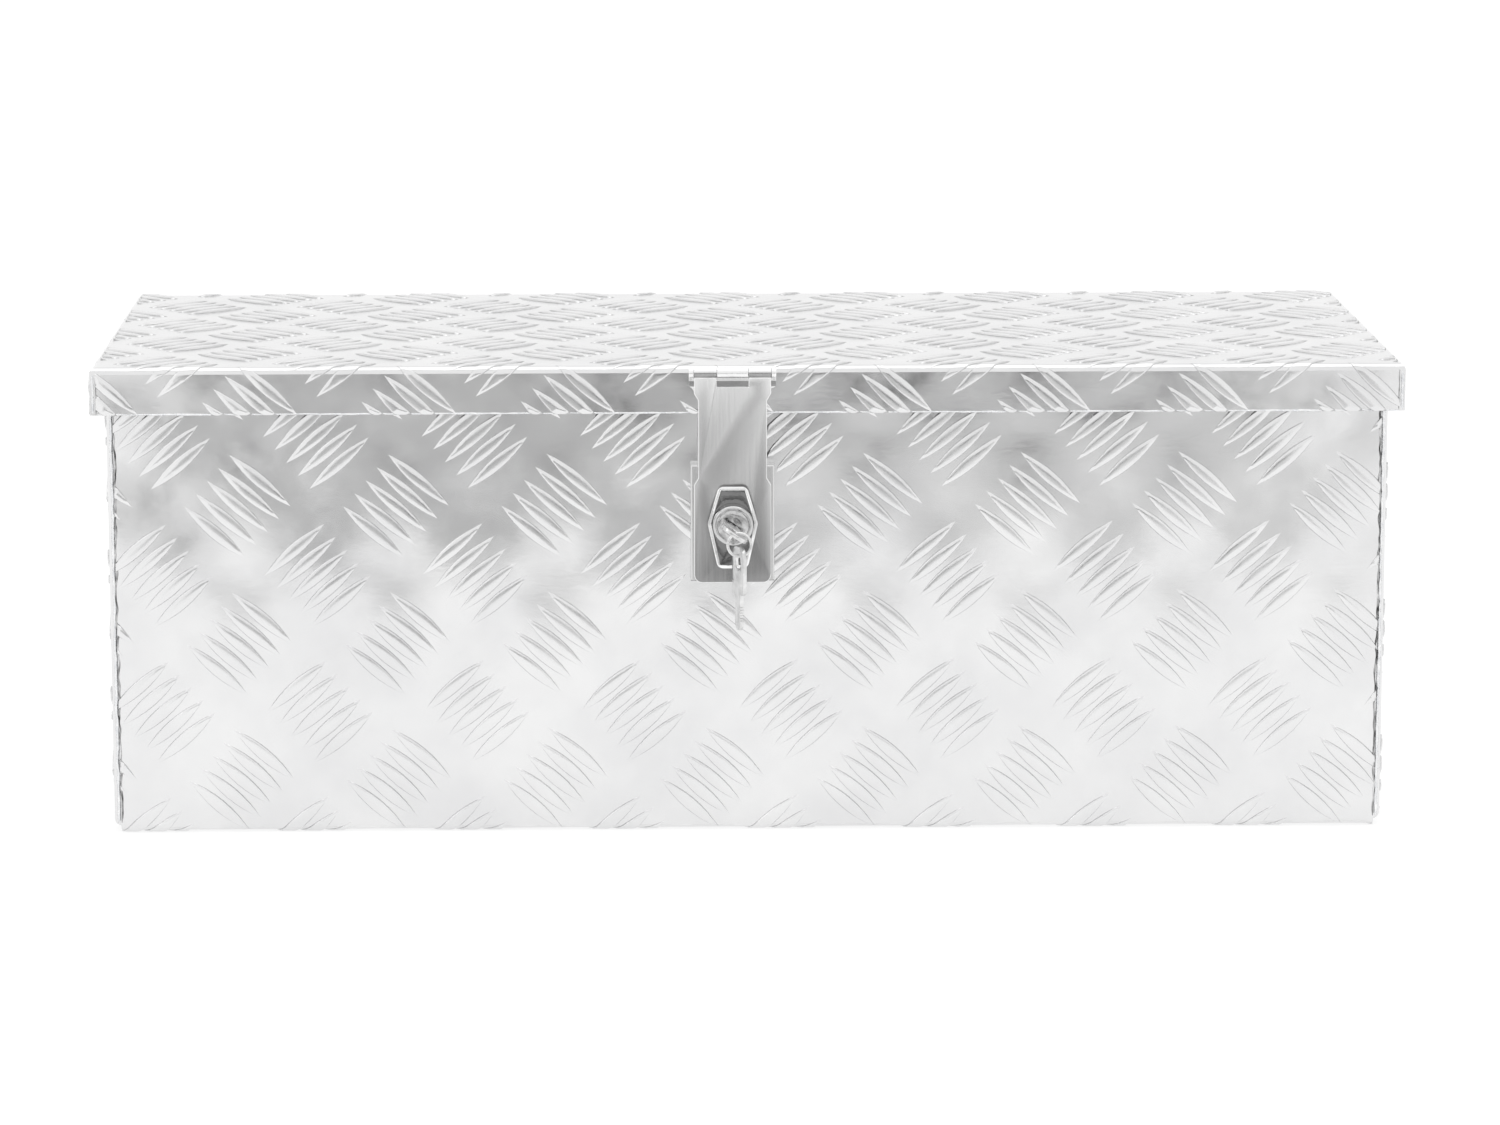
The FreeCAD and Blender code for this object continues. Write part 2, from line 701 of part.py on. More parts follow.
def make_keeper():
    """Pressed keeper on the box front: a shallow case whose slot is open at the top."""
    half, inside = "(keeper_width / 2)", "(keeper_width / 2 - keeper_sheet)"
    tall = f"({KEEPER_FACE} - {HALF_DEPTH})"
    body = new_body("keeper_case", ("hasp_across", f"-{HALF_DEPTH}", LOCK_UP), FRONT)
    case = rectangle(f"-{half}", "-keeper_fall", half, "keeper_rise")
    room = rectangle(f"-{inside}", "-(keeper_fall - keeper_sheet)", inside, "keeper_rise - keeper_sheet")
    slot = rectangle("-keeper_slot / 2", "-keeper_slot_fall", "keeper_slot / 2", "keeper_rise + 1")
    extrude(body, "Pad", "0", tall, [case])
    round_off(body, "keeper_edge", level_at(tall))
    extrude(body, "Pocket", "keeper_sheet", f"{tall} - 2 * keeper_sheet", [room])
    extrude(body, "Pocket", "keeper_sheet", tall, [slot])
    return body


# ---- keys and ring ----


def make_key(label, spot, turn):
    """Flat key, drawn from its tip at the origin to its bow along X, with one cut for each wafer."""
    half, bow = "blade_width / 2", "bow_width / 2"
    cuts = []
    for at in range(int(number("wafers"))):
        middle = f"({KEY_LEVEL} + {wafer_level(at)} + wafer_sheet / 2)"
        cuts += [(f"{middle} - 0.9", half), (f"{middle} - 0.4", f"{half} - cut_depth")]
        cuts += [(f"{middle} + 0.4", f"{half} - cut_depth"), (f"{middle} + 0.9", half)]
    cuts = sorted(cuts, key=lambda point: number(point[0]))
    lower = [("0", "-blade_width / 6"), ("blade_width / 3", f"-{half}"), ("blade_length", f"-{half}")]
    bow_low = [("blade_length", f"-{bow}"), ("key_length", f"-{bow}")]
    bow_high = [("key_length", bow), ("blade_length", bow)]
    upper = [("blade_length", half)] + cuts[::-1] + [("blade_width / 3", half), ("0", "blade_width / 6")]
    body = new_body(label, spot, turn)
    extrude(body, "Pad", "-key_sheet / 2", "key_sheet", [lower + bow_low + bow_high + upper])
    round_off(body, "bow_corner", upright_at([bow_low[1], bow_high[0]]))
    round_off(body, "bow_heel", upright_at([bow_low[0], bow_high[1]]))
    eye = [(("key_length - key_eye", "0"), "key_eye_radius")]
    extrude(body, "Pocket", "-key_sheet / 2", "key_sheet", circles=eye)
    groove = rectangle("-1", "-blade_groove / 2", "blade_length - 1", "blade_groove / 2")
    extrude(body, "Pocket", "key_sheet / 2 - blade_groove_depth", "key_sheet", [groove])
    return body


KEY_LEVEL = f"({STRAP_FACE} - {KEY_TIP})"
angle = number("key_angle")
width_way = FreeCAD.Rotation(FreeCAD.Vector(0, 1, 0), angle).multVec(FreeCAD.Vector(1, 0, 0))
out_way = FreeCAD.Vector(0, -1, 0)
key_turn = FreeCAD.Rotation(out_way, width_way, out_way.cross(width_way), "XYZ")
edge_way = FreeCAD.Rotation(FreeCAD.Vector(0, 0, 1), number("spare_turn")).multVec(out_way)
up_way = FreeCAD.Vector(0, 0, 1)
spare_turn = FreeCAD.Rotation(up_way, edge_way, up_way.cross(edge_way), "XYZ")
ring_spot = (f"hasp_across + {RING_X}", f"-{KEY_EYE_OUT}", f"{LOCK_UP} - {RING_Z}")
eye_drop = f"({RING_Z} + ring_radius - ring_wire + key_eye_radius - ring_play)"
spare_spot = (ring_spot[0], ring_spot[1], f"{LOCK_UP} - {eye_drop} - (key_length - key_eye)")


def make_ring():
    ring = doc.addObject("Part::Torus", "key_ring")
    ring.Label = "key_ring"
    ring.setExpression("Radius1", sized("ring_radius"))
    ring.setExpression("Radius2", sized("ring_wire"))
    place(ring, ring_spot, FRONT)
    return ring


# ---- assembly ----

half_depth, wall = number(HALF_DEPTH), number("sheet")
hasp_x, head, tail = number("hasp_across"), number("rivet_head"), number("rivet_tail")
hinge_count, hinge_pitch = int(number("hinge_rivets")), number("hinge_rivet_pitch")
box_row = in_row(hinge_count, hinge_pitch,
                 number(f"{HINGE_UP} - barrel_radius - knuckle_gap - leaf_width / 2"))
lid_row = in_row(hinge_count, hinge_pitch, number(f"({HINGE_UP} + barrel_radius + {LID_UNDER}) / 2"))
hasp_up = number(f"{HASP_UP} - (hasp_ear_drop + hasp_leaf_drop) / 2")
hasp_row = [(x + hasp_x, up) for x, up in in_row(2, number("hasp_rivet_pitch"), hasp_up)]
keeper_low = number(f"{LOCK_UP} - keeper_rivet_rise / 2")
keeper_row = []
for keeper_up in (keeper_low, keeper_low + number("keeper_rivet_rise")):
    keeper_row += [(x + hasp_x, up) for x, up in in_row(2, number("keeper_rivet_pitch"), keeper_up)]

rear_inside = half_depth - wall
back_holes = rivet_holes("back_holes", box_row, rear_inside - 1, number(f"{HALF_DEPTH} + 2 * leaf_sheet"))
lid_holes = rivet_holes("lid_holes", lid_row, half_depth, number(f"{REAR_FACE} + 1"))
skirt_face = number(SKIRT_FACE)
hasp_holes = rivet_holes("hasp_holes", hasp_row, -skirt_face - number("2 * hasp_leaf_sheet"), -half_depth)
keeper_back = half_depth + number("keeper_sheet")
front_holes = rivet_holes("front_holes", keeper_row, -keeper_back - 1, 1 - rear_inside)

nodes = {
    "body_wrap": cut("body_wrap", make_wrap(), group("wrap_holes", [back_holes.Shape, front_holes.Shape])),
    "end_panel_left": make_end("end_panel_left", -1),
    "end_panel_right": make_end("end_panel_right", 1),
    "rim_seal": make_seal(),
    "lid_panel": cut("lid_panel", make_lid(), group("panel_holes", [lid_holes.Shape, hasp_holes.Shape])),
    "hinge_leaf_body": cut("hinge_leaf_body", make_box_leaf(), back_holes),
    "hinge_leaf_lid": cut("hinge_leaf_lid", make_lid_leaf(), lid_holes),
    "hinge_pin": rod(
        "hinge_pin", (f"-{HINGE_LENGTH} / 2 - pin_proud", HINGE_OUT, HINGE_UP), "hinge_pin_radius",
        f"{HINGE_LENGTH} + 2 * pin_proud", ALONG_X,
    ),
    "hinge_rivets_body": rivets(
        "hinge_rivets_body", box_row, half_depth + number("leaf_sheet"), rear_inside, head, tail
    ),
    "hinge_rivets_lid": rivets("hinge_rivets_lid", lid_row, number(REAR_FACE), number(LID_LEAF), head, head),
    "hasp_fixed_leaf": cut("hasp_fixed_leaf", make_fixed_leaf(), hasp_holes),
    "hasp_leaf_rivets": rivets(
        "hasp_leaf_rivets", hasp_row, wall - skirt_face, -skirt_face - number("hasp_leaf_sheet"), tail, 0
    ),
    "hasp_pin": rod(
        "hasp_pin", ("hasp_across - strap_width / 2 - hasp_play - hasp_ear", f"-{HASP_OUT}", HASP_UP),
        "hasp_pin_radius", "strap_width + 2 * (hasp_play + hasp_ear)", ALONG_X,
    ),
    "hasp_strap": make_strap(),
    "lock_housing": make_housing(),
    "lock_plug": make_plug(),
    "lock_wafers": make_wafers(),
    "retaining_clip": make_clip(),
    "lock_cam": make_cam(),
    "cam_screw": make_screw(),
    "keeper": cut("keeper", make_keeper(), front_holes),
    "keeper_rivets": rivets("keeper_rivets", keeper_row, -keeper_back, -rear_inside, head, tail),
    "key_in_lock": make_key("key_in_lock", ("hasp_across", f"-{KEY_TIP}", LOCK_UP), key_turn),
    "spare_key": make_key("spare_key", spare_spot, spare_turn),
    "key_ring": make_ring(),
}

doc.recompute()
faults = [item.Label for item in doc.Objects if {"Invalid", "Error"} & set(item.State)]
for name, piece in nodes.items():
    if piece.Shape.isNull() or not piece.Shape.isValid() or not piece.Shape.Solids:
        faults.append(name)
if faults:
    raise RuntimeError(f"failed to build: {sorted(set(faults))}")

os.makedirs("parts", exist_ok=True)
for name, piece in nodes.items():
    piece.Shape.exportStep(f"parts/{name}.step")
    box = piece.Shape.BoundBox
    print(f"{name}: {len(piece.Shape.Solids)} solid(s), {piece.Shape.Volume:.1f} mm3,"
          f" x {box.XMin:.1f} {box.XMax:.1f}, y {box.YMin:.1f} {box.YMax:.1f},"
          f" z {box.ZMin:.1f} {box.ZMax:.1f}")
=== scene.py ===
import math
import random

import bpy
import mathutils
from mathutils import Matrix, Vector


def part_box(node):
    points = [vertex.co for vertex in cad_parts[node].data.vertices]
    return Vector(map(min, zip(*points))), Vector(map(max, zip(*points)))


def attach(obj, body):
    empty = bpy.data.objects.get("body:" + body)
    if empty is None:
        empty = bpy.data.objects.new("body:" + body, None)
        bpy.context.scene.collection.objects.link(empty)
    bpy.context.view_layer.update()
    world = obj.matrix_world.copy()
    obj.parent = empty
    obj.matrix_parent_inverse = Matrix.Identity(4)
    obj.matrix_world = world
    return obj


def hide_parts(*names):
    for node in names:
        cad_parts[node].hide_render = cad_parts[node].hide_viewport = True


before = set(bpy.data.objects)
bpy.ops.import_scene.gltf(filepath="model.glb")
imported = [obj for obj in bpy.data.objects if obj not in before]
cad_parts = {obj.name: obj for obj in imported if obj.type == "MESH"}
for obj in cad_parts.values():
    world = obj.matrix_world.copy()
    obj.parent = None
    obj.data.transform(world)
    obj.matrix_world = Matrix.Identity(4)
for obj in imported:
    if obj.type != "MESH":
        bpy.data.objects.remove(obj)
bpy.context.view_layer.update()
bpy.ops.object.select_all(action="DESELECT")


# --- Box sheets ---------------------------------------------------------------------------------
# The front, bottom and back are one folded sheet of five-bar aluminium tread plate, 1.5 mm thick.
# Each end is a shallow pan of the same plate, welded inside the folded sheet's cut edges.

def new_finish(name, colour, metallic, roughness):
    finish = bpy.data.materials.new(name)
    finish.use_nodes = True
    shader = finish.node_tree.nodes["Principled BSDF"]
    shader.inputs["Base Color"].default_value = (*colour, 1)
    shader.inputs["Metallic"].default_value = metallic
    shader.inputs["Roughness"].default_value = roughness
    return finish, finish.node_tree, shader


def grain(tree, scale, stretch=(1, 1, 1), detail=3.0):
    """Noise on the piece's own coordinates; stretch is how many times finer it is along each axis."""
    place = tree.nodes.new("ShaderNodeTexCoord")
    mapping = tree.nodes.new("ShaderNodeMapping")
    mapping.inputs["Scale"].default_value = stretch
    noise = tree.nodes.new("ShaderNodeTexNoise")
    noise.inputs["Scale"].default_value = scale
    noise.inputs["Detail"].default_value = detail
    tree.links.new(place.outputs["Object"], mapping.inputs["Vector"])
    tree.links.new(mapping.outputs["Vector"], noise.inputs["Vector"])
    return noise.outputs["Fac"]


def spread(tree, source, low, high, start=0.3, end=0.7):
    """Maps start..end to low..high; noise stays between about 0.3 and 0.7."""
    ranged = tree.nodes.new("ShaderNodeMapRange")
    ranged.inputs["From Min"].default_value = start
    ranged.inputs["From Max"].default_value = end
    ranged.inputs["To Min"].default_value = low
    ranged.inputs["To Max"].default_value = high
    tree.links.new(source, ranged.inputs["Value"])
    return ranged.outputs["Result"]


def tint(tree, shader, source, dark, light):
    ramp = tree.nodes.new("ShaderNodeValToRGB")
    ramp.color_ramp.elements[0].position = 0.3
    ramp.color_ramp.elements[1].position = 0.7
    ramp.color_ramp.elements[0].color = (*dark, 1)
    ramp.color_ramp.elements[1].color = (*light, 1)
    tree.links.new(source, ramp.inputs["Fac"])
    tree.links.new(ramp.outputs["Color"], shader.inputs["Base Color"])


def relief(tree, shader, source, depth):
    """Adds source as height, depth metres deep, over any relief that the finish already has."""
    bump = tree.nodes.new("ShaderNodeBump")
    bump.inputs["Distance"].default_value = depth
    if shader.inputs["Normal"].is_linked:
        below = shader.inputs["Normal"].links[0].from_socket
        tree.links.new(below, bump.inputs["Normal"])
    tree.links.new(source, bump.inputs["Height"])
    tree.links.new(bump.outputs["Normal"], shader.inputs["Normal"])


def step_on(tree, kind, operation, first, second):
    node = tree.nodes.new(kind)
    node.operation = operation
    for socket, value in zip(node.inputs, (first, second)):
        if isinstance(value, bpy.types.NodeSocket):
            tree.links.new(value, socket)
        else:
            socket.default_value = value
    return node


def arithmetic(tree, operation, first, second):
    return step_on(tree, "ShaderNodeMath", operation, first, second).outputs["Value"]


def vector_step(tree, operation, first, second, result="Vector"):
    return step_on(tree, "ShaderNodeVectorMath", operation, first, second).outputs[result]


PITCH_ACROSS = 0.070
PITCH_UP = 0.062
SLOW_WAVES = 0.0007
ROLLING_LINES = 0.000008


def dished(tree, across, up):
    """Height of the shallow dishes that rolling leaves in the flats between the groups of bars."""
    place = tree.nodes.new("ShaderNodeTexCoord")
    position = tree.nodes.new("ShaderNodeSeparateXYZ")
    facing = tree.nodes.new("ShaderNodeSeparateXYZ")
    tree.links.new(place.outputs["Object"], position.inputs["Vector"])
    tree.links.new(place.outputs["Normal"], facing.inputs["Vector"])
    on_end = arithmetic(tree, "GREATER_THAN", arithmetic(tree, "ABSOLUTE", facing.outputs["X"], 0), 0.5)
    on_top = arithmetic(tree, "GREATER_THAN", arithmetic(tree, "ABSOLUTE", facing.outputs["Z"], 0), 0.5)
    waves = []
    for direct, turned, origin, pitch in (("X", on_end, across, PITCH_ACROSS), ("Z", on_top, up, PITCH_UP)):
        mix = tree.nodes.new("ShaderNodeMix")
        tree.links.new(turned, mix.inputs["Factor"])
        tree.links.new(position.outputs[direct], mix.inputs["A"])
        tree.links.new(position.outputs["Y"], mix.inputs["B"])
        turns = arithmetic(tree, "SUBTRACT", mix.outputs["Result"], origin)
        turns = arithmetic(tree, "MULTIPLY", turns, 2 * math.pi / pitch)
        waves.append(arithmetic(tree, "COSINE", turns, 0))
    return arithmetic(tree, "MULTIPLY", waves[0], waves[1])


def tread_plate(name, across, up, dish):
    """Mill-finish tread plate: fine rolling lines, slow waves, and the dishes round the bars."""
    finish, tree, shader = new_finish(name, (0.8, 0.8, 0.8), 1.0, 0.15)
    clouds = grain(tree, 15.0, detail=2.0)
    fine = grain(tree, 500.0, (0.4, 1, 1))
    tint(tree, shader, grain(tree, 30.0), (0.755, 0.755, 0.76), (0.825, 0.825, 0.825))
    tree.links.new(spread(tree, grain(tree, 80.0), 0.1, 0.18), shader.inputs["Roughness"])
    relief(tree, shader, dished(tree, across, up), dish)
    relief(tree, shader, clouds, SLOW_WAVES)
    relief(tree, shader, fine, ROLLING_LINES)
    return finish


def put_on(finish, *names):
    for name in names:
        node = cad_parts[name]
        node.data.materials.clear()
        node.data.materials.append(finish)


WITHIN_SHEET = 0.0008
BACK_DULLER = 0.25
BACK_MILKIER = 0.75


def plain_back(finish, low, high):
    """The plate's plain back, which faces into low..high, is milkier than the rolled face."""
    tree = finish.node_tree
    shader = tree.nodes["Principled BSDF"]
    place = tree.nodes.new("ShaderNodeTexCoord")
    outward = vector_step(tree, "SUBTRACT", place.outputs["Object"], (low + high) / 2)
    facing = vector_step(tree, "DOT_PRODUCT", outward, place.outputs["Normal"], "Value")
    away = vector_step(tree, "ABSOLUTE", outward, (0, 0, 0))
    skin = mathutils.Vector((WITHIN_SHEET, WITHIN_SHEET, WITHIN_SHEET))
    depth = vector_step(tree, "SUBTRACT", away, (high - low) / 2 - skin)
    axes = tree.nodes.new("ShaderNodeSeparateXYZ")
    tree.links.new(depth, axes.inputs["Vector"])
    nearest = arithmetic(tree, "MAXIMUM", axes.outputs["X"], axes.outputs["Y"])
    nearest = arithmetic(tree, "MAXIMUM", nearest, axes.outputs["Z"])
    behind = arithmetic(tree, "LESS_THAN", arithmetic(tree, "MAXIMUM", nearest, facing), 0)
    polish = shader.inputs["Roughness"].links[0].from_socket
    dull = arithmetic(tree, "ADD", polish, arithmetic(tree, "MULTIPLY", behind, BACK_DULLER))
    tree.links.new(dull, shader.inputs["Roughness"])
    bare = arithmetic(tree, "SUBTRACT", 1, arithmetic(tree, "MULTIPLY", behind, BACK_MILKIER))
    tree.links.new(bare, shader.inputs["Metallic"])


box_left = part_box("end_panel_left")[0].x
box_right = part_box("end_panel_right")[1].x
wrap_low, wrap_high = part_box("body_wrap")
BODY_FIRST = box_left - 0.0124
BODY_ROW = 0.023
BODY_DISH = 0.00022
box_plate = tread_plate("box_tread_plate", BODY_FIRST, BODY_ROW, BODY_DISH)
plain_back(box_plate, mathutils.Vector((box_left, *wrap_low.yz)),
           mathutils.Vector((box_right, *wrap_high.yz)))
put_on(box_plate, "body_wrap", "end_panel_left", "end_panel_right")


# --- Raised bars of the box ---------------------------------------------------------------------
# The mill rolls the pattern into the plate before it is cut: groups of five pointed bars, each
# 35 mm long and 0.8 mm proud, leaning left and right in turn, so edges and folds run through them.

BAR_LENGTH = 0.035
BAR_WIDTH = 0.0062
BAR_LEAN = math.radians(41)
BAR_SPACING = 0.0077
BAR_SECTION = (-0.0003, 0.0005, 0.00074, 0.00078, 0.00074, 0.0005, -0.0003)
BAR_SIDES = (-1.0, -0.84, -0.74, 0.0, 0.74, 0.84, 1.0)
BAR_BLUNTNESS = 0.22
BARS_IN_GROUP = 5
CROWN_WEIGHT = 80


def only(piece):
    bpy.ops.object.select_all(action="DESELECT")
    piece.select_set(True)
    bpy.context.view_layer.objects.active = piece


def settle(piece):
    """Puts the object's own place, turn and size into its mesh."""
    only(piece)
    bpy.ops.object.transform_apply(location=True, rotation=True, scale=True)


def apply_all(piece):
    only(piece)
    for modifier in list(piece.modifiers):
        bpy.ops.object.modifier_apply(modifier=modifier.name)


def repeat(piece, count, step):
    array = piece.modifiers.new("repeat", "ARRAY")
    array.count = count
    array.use_relative_offset = False
    array.use_constant_offset = True
    array.constant_offset_displace = step


def one_bar():
    """One lens-shaped bar along X on the plate's face, with its closed underside let into the plate."""
    bpy.ops.mesh.primitive_grid_add(x_subdivisions=8, y_subdivisions=len(BAR_SECTION) - 1, size=2)
    bar = bpy.context.object
    for vertex in bar.data.vertices:
        along = vertex.co.x
        row = round((vertex.co.y + 1) / 2 * (len(BAR_SECTION) - 1))
        room = 1 - along * along
        height = BAR_SECTION[row]
        if height > 0:
            height *= room ** BAR_BLUNTNESS
        vertex.co = (along * BAR_LENGTH / 2, BAR_SIDES[row] * room * BAR_WIDTH / 2, height)
    bpy.ops.object.mode_set(mode="EDIT")
    bpy.ops.mesh.select_all(action="SELECT")
    bpy.ops.mesh.remove_doubles(threshold=0.00001)
    bpy.ops.mesh.select_mode(type="EDGE")
    bpy.ops.mesh.select_all(action="DESELECT")
    bpy.ops.mesh.select_non_manifold()
    bpy.ops.mesh.edge_face_add()
    bpy.ops.mesh.select_all(action="SELECT")
    bpy.ops.mesh.normals_make_consistent(inside=False)
    bpy.ops.object.mode_set(mode="OBJECT")
    return bar


def slice_off(piece, point, normal, keep_all=False):
    """Cuts the piece at a plane, closes the cut, and throws away the side the normal points to."""
    only(piece)
    bpy.ops.object.mode_set(mode="EDIT")
    bpy.ops.mesh.select_all(action="SELECT")
    bpy.ops.mesh.bisect(plane_co=point, plane_no=normal, use_fill=not keep_all, clear_outer=not keep_all)
    bpy.ops.object.mode_set(mode="OBJECT")


def field_of_bars(name, left, right, foot, top, first, row):
    """Bars lying flat over left..right, foot..top; the groups leaning '\\' are centred at first, row."""
    lean = one_bar()
    lean.rotation_euler.z = -BAR_LEAN
    side = mathutils.Vector((math.sin(BAR_LEAN), math.cos(BAR_LEAN), 0)) * BAR_SPACING
    lean.location = -(BARS_IN_GROUP - 1) / 2 * side
    settle(lean)
    repeat(lean, BARS_IN_GROUP, side)
    apply_all(lean)
    bpy.ops.object.duplicate()
    other = bpy.context.object
    other.scale.x = -1
    other.location = (PITCH_ACROSS / 2, PITCH_UP / 2, 0)
    settle(other)
    bpy.ops.object.mode_set(mode="EDIT")
    bpy.ops.mesh.select_all(action="SELECT")
    bpy.ops.mesh.normals_make_consistent(inside=False)
    bpy.ops.object.mode_set(mode="OBJECT")
    lean.select_set(True)
    bpy.context.view_layer.objects.active = lean
    bpy.ops.object.join()
    columns = math.floor((left - first) / PITCH_ACROSS) - 1
    rows = math.floor((foot - row) / PITCH_UP) - 1
    lean.location = (first + columns * PITCH_ACROSS, row + rows * PITCH_UP, 0)
    settle(lean)
    repeat(lean, math.ceil((right - left) / PITCH_ACROSS) + 3, (PITCH_ACROSS, 0, 0))
    repeat(lean, math.ceil((top - foot) / PITCH_UP) + 3, (0, PITCH_UP, 0))
    apply_all(lean)
    slice_off(lean, (left, 0, 0), (-1, 0, 0))
    slice_off(lean, (right, 0, 0), (1, 0, 0))
    slice_off(lean, (0, foot, 0), (0, -1, 0))
    slice_off(lean, (0, top, 0), (0, 1, 0))
    lean.name = name
    lean.data.name = name
    return lean


BEND_STEPS = 6


def folded_length(span, side, bend):
    """How long a strip is once it is flat, if it folds to two sides and a span between them."""
    return 2 * (side - bend) + math.pi * bend + span - 2 * bend


def fold_round(piece, start_y, end_y, open_z, closed_z, bend):
    """Folds a flat field, its rows along Y from 0, into a channel that opens at open_z."""
    out = math.copysign(1, end_y - start_y)
    rise = math.copysign(1, closed_z - open_z)
    side = abs(closed_z - open_z)
    span = abs(end_y - start_y)
    corner = [math.pi / 2 * step / BEND_STEPS for step in range(BEND_STEPS + 1)]
    line = [(start_y, open_z)]
    for turn in corner:
        line.append((start_y + out * bend * (1 - math.cos(turn)),
                     closed_z - rise * bend * (1 - math.sin(turn))))
    for turn in corner:
        line.append((end_y - out * bend * (1 - math.sin(turn)),
                     closed_z - rise * bend * (1 - math.cos(turn))))
    line.append((end_y, open_z))
    first_bend = side - bend
    second_bend = folded_length(span, side, bend) - first_bend - math.pi / 2 * bend
    for begin in (first_bend, second_bend):
        for turn in corner:
            slice_off(piece, (0, begin + turn * bend, 0), (0, 1, 0), keep_all=True)
    guide = bpy.data.curves.new("fold", "CURVE")
    guide.dimensions = "2D"
    guide.use_deform_bounds = False
    spline = guide.splines.new("POLY")
    spline.points.add(len(line) - 1)
    for point, (y, z) in zip(spline.points, line):
        point.co = (y, z, 0, 1)
    rail = bpy.data.objects.new("fold", guide)
    rail.rotation_euler = (math.pi / 2, 0, math.pi / 2)
    bpy.context.scene.collection.objects.link(rail)
    bend_over = piece.modifiers.new("fold", "CURVE")
    bend_over.object = rail
    bend_over.deform_axis = "POS_X"
    bpy.context.view_layer.update()
    apply_all(piece)
    bpy.data.objects.remove(rail)


def dress(finish, *pieces):
    for piece in pieces:
        piece.data.materials.clear()
        piece.data.materials.append(finish)


def finish_bars(piece, finish, body):
    only(piece)
    bpy.ops.object.shade_smooth()
    crowns = piece.modifiers.new("crowns", "WEIGHTED_NORMAL")
    crowns.mode = "FACE_AREA"
    crowns.weight = CROWN_WEIGHT
    apply_all(piece)
    dress(finish, piece)
    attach(piece, body)


BODY_BEND = 0.003
wrap_side = wrap_high.z - wrap_low.z
wrap_span = wrap_high.y - wrap_low.y
wrap_round = folded_length(wrap_span, wrap_side, BODY_BEND)
wrap_bars = field_of_bars("box_bars", wrap_low.x, wrap_high.x, 0, wrap_round, BODY_FIRST,
                          wrap_round - wrap_high.z + BODY_ROW)
fold_round(wrap_bars, wrap_high.y, wrap_low.y, wrap_high.z, wrap_low.z, BODY_BEND)
finish_bars(wrap_bars, box_plate, "box")

pan_low, pan_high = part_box("end_panel_right")
PAN_BEND = 0.0033
PAN_FIRST = pan_low.y - 0.004


def stand_on_end(bars, x, finish, body):
    """Turns a flat field up onto the left or right face at x, with its crowns outwards."""
    bars.rotation_euler = (math.pi / 2, 0, math.copysign(math.pi / 2, x))
    bars.location.x = x
    settle(bars)
    finish_bars(bars, finish, body)


for name, x in (("end_bars_left", box_left), ("end_bars_right", box_right)):
    end_bars = field_of_bars(name, pan_low.y + PAN_BEND, pan_high.y - PAN_BEND, pan_low.z + PAN_BEND,
                             pan_high.z - PAN_BEND, PAN_FIRST, BODY_ROW)
    stand_on_end(end_bars, x, box_plate, "box")


# --- Lid ----------------------------------------------------------------------------------------
# A flat drop-over lid of the same tread plate, with a 21 mm skirt folded down all round and the
# corners welded. The pattern runs on from the front skirt over the fold to the top and the back.

lid_low, lid_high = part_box("lid_panel")
LID_FIRST = lid_low.x - 0.0024
LID_BEND = 0.003
LID_SEAM = 0.0026
LID_DISH = 0.0001
LID_END_FIRST = lid_low.y + 0.021
lid_plate = tread_plate("lid_tread_plate", LID_FIRST, lid_low.z, LID_DISH)
plain_back(lid_plate, lid_low, lid_high)
put_on(lid_plate, "lid_panel")

lid_side = lid_high.z - lid_low.z
lid_span = lid_high.y - lid_low.y
lid_round = folded_length(lid_span, lid_side, LID_BEND)
lid_bars = field_of_bars("lid_bars", lid_low.x + LID_SEAM, lid_high.x - LID_SEAM, 0, lid_round,
                         LID_FIRST, 0)
fold_round(lid_bars, lid_low.y, lid_high.y, lid_low.z, lid_high.z, LID_BEND)
finish_bars(lid_bars, lid_plate, "lid")

for name, x in (("lid_bars_left", lid_low.x), ("lid_bars_right", lid_high.x)):
    end_bars = field_of_bars(name, lid_low.y + LID_BEND, lid_high.y - LID_BEND, lid_low.z,
                             lid_high.z - LID_BEND, LID_END_FIRST, lid_low.z)
    stand_on_end(end_bars, x, lid_plate, "lid")


# --- Weld beads ---------------------------------------------------------------------------------
# Thin hand-laid aluminium beads close the upright seams where the folded sheet's cut edges stand
# on the end pans, and the lid's four corners. They wander and swell a little along their length.

weld_finish, weld_tree, weld_shader = new_finish("weld_metal", (0.9, 0.9, 0.9), 1.0, 0.25)
weld_tint = grain(weld_tree, 300.0)
tint(weld_tree, weld_shader, weld_tint, (0.72, 0.73, 0.75), (0.94, 0.94, 0.94))
weld_tree.links.new(spread(weld_tree, weld_tint, 0.15, 0.4), weld_shader.inputs["Roughness"])
relief(weld_tree, weld_shader, grain(weld_tree, 900.0, (1, 1, 2.5)), 0.0002)


def marked_finish(name, colour, metallic, roughness, marks, shades, polish, depth):
    """A finish whose tint, polish and relief all follow one grain; marks are grain's arguments."""
    finish, tree, shader = new_finish(name, colour, metallic, roughness)
    pattern = grain(tree, *marks)
    tint(tree, shader, pattern, *shades)
    tree.links.new(spread(tree, pattern, *polish), shader.inputs["Roughness"])
    relief(tree, shader, pattern, depth)
    return finish


# A dark wavy line of painted shade beside each weld bead, for the shadowed gap of the seam.
seam_shade_finish = marked_finish("weld_seam_shade", (0.2, 0.2, 0.2), 1.0, 0.5, marks=(160.0,),
                            shades=((0.05, 0.05, 0.05), (0.75, 0.75, 0.75)),
                            polish=(0.6, 0.3), depth=0.0001)

BEAD_STEP = 0.010
BEAD_SWELL = (0.6, 1.3)
BEAD_END = 0.4
steady_hand = random.Random(11)


